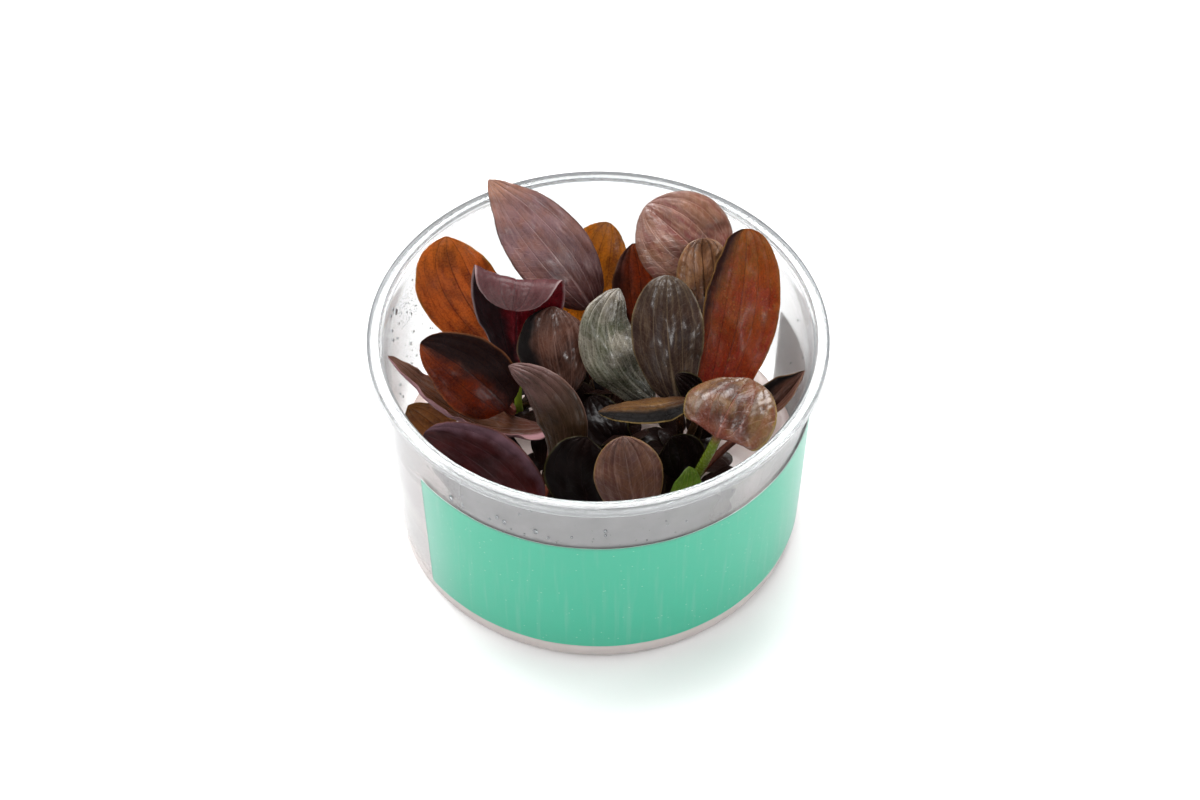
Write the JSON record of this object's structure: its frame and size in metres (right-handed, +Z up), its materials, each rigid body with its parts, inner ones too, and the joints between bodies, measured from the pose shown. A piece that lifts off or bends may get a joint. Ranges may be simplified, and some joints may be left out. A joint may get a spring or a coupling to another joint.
{
  "type": "tissue culture sword plant in a cup",
  "caption": "Clump of small red-brown sword plants, broad leaves on upright stalks, rooted in gel in a clear round cup with a wide rim and a plain wrapped label.",
  "frame": {"origin": "middle of the cup's foot, on the surface that it stands on", "axes": "+Z up, out of the cup's mouth; -Y towards the front of the label; +X to the right of someone who looks at that front"},
  "size_m": [0.105, 0.105, 0.0701],
  "materials": {
    "clear_plastic": "gloss",
    "label_film": "satin",
    "culture_gel": "gloss",
    "crown": "satin",
    "leaf_mauve": "satin",
    "leaf_rust": "gloss",
    "leaf_gold": "gloss",
    "leaf_wine": "gloss",
    "leaf_olive": "gloss",
    "leaf_silver": "gloss",
    "leaf_dark": "gloss",
    "leaf_brown": "gloss",
    "leaf_green": "satin"
  },
  "bodies": {
    "root": {"cup": "clear_plastic", "label": "label_film", "gel": "culture_gel", "crown_left": "crown", "crown_back": "crown", "crown_back_right": "crown", "crown_right": "crown", "crown_middle": "crown", "crown_front_left": "crown", "crown_front": "crown", "crown_front_right": "crown", "leaf_back_tall": "leaf_mauve", "leaf_left_orange": "leaf_rust", "leaf_curled_red": "leaf_wine", "leaf_back_gold": "leaf_gold", "leaf_back_rust": "leaf_rust", "leaf_back_round": "leaf_mauve", "leaf_back_folded": "leaf_brown", "leaf_right_long": "leaf_rust", "leaf_centre_olive": "leaf_olive", "leaf_centre_silver": "leaf_silver", "leaf_centre_brown": "leaf_brown", "leaf_centre_small": "leaf_dark", "leaf_left_oval": "leaf_rust", "leaf_left_channel": "leaf_mauve", "leaf_left_low": "leaf_gold", "leaf_front_left_broad": "leaf_dark", "leaf_front_arched": "leaf_mauve", "leaf_front_dark": "leaf_dark", "leaf_front_brown": "leaf_brown", "leaf_front_strip": "leaf_gold", "leaf_right_round": "leaf_brown", "leaf_right_channel": "leaf_brown", "leaf_right_low": "leaf_dark", "leaf_front_green": "leaf_green", "leaf_low_wet": "leaf_dark", "leaf_low_left": "leaf_dark", "leaf_low_back": "leaf_brown", "leaf_low_back_right": "leaf_dark", "leaf_low_middle": "leaf_green", "leaf_low_centre": "leaf_brown", "leaf_low_front_left": "leaf_dark", "leaf_low_front": "leaf_dark", "leaf_low_front_olive": "leaf_olive", "leaf_low_front_right": "leaf_brown"}
  },
  "joints": []
}
